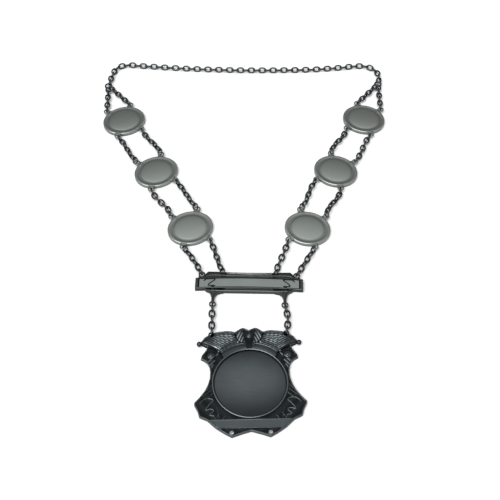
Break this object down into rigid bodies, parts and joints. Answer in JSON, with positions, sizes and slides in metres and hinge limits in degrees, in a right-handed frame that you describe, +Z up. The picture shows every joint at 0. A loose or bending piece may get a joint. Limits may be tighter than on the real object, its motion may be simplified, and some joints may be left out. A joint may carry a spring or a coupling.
{
  "type": "carnival order medal",
  "caption": "Cast shield pendant with jester's caps, hung below a name bar on a collar of oval plaques and cable chain.",
  "frame": {"origin": "centre of the laid-out order's bounding box in X and Y, on the surface it lies on", "axes": "+Y from the pendant towards the neck chain, +X to the viewer's right, +Z up from the surface"},
  "size_m": [0.2316, 0.337, 0.0051],
  "materials": {
    "shield_metal": "dark antique silver plate on cast zinc, satin",
    "bar_metal": "antique silver plate, field brushed lengthways",
    "plaque_metal": "antique silver plate, matte satin",
    "chain_metal": "blackened silver plate on steel wire",
    "clear_stone": "clear cut glass, backed",
    "dull_stone": "dull grey cut glass, backed"
  },
  "bodies": {
    "root": {"pendant_shield": "shield_metal", "rhinestone_left": "clear_stone", "rhinestone_right": "clear_stone", "centre_stone": "dull_stone", "pendant_chain_left": "chain_metal", "pendant_chain_right": "chain_metal", "name_bar": "bar_metal", "plaque_left_lower": "plaque_metal", "plaque_left_middle": "plaque_metal", "plaque_left_upper": "plaque_metal", "strand_left_outer_lower": "chain_metal", "strand_left_outer_middle": "chain_metal", "strand_left_outer_upper": "chain_metal", "strand_left_inner_lower": "chain_metal", "strand_left_inner_middle": "chain_metal", "strand_left_inner_upper": "chain_metal", "shoulder_chains_left": "chain_metal", "junction_ring_left": "chain_metal", "plaque_right_lower": "plaque_metal", "plaque_right_middle": "plaque_metal", "plaque_right_upper": "plaque_metal", "strand_right_outer_lower": "chain_metal", "strand_right_outer_middle": "chain_metal", "strand_right_outer_upper": "chain_metal", "strand_right_inner_lower": "chain_metal", "strand_right_inner_middle": "chain_metal", "strand_right_inner_upper": "chain_metal", "shoulder_chains_right": "chain_metal", "junction_ring_right": "chain_metal", "neck_chain": "chain_metal"}
  },
  "joints": []
}
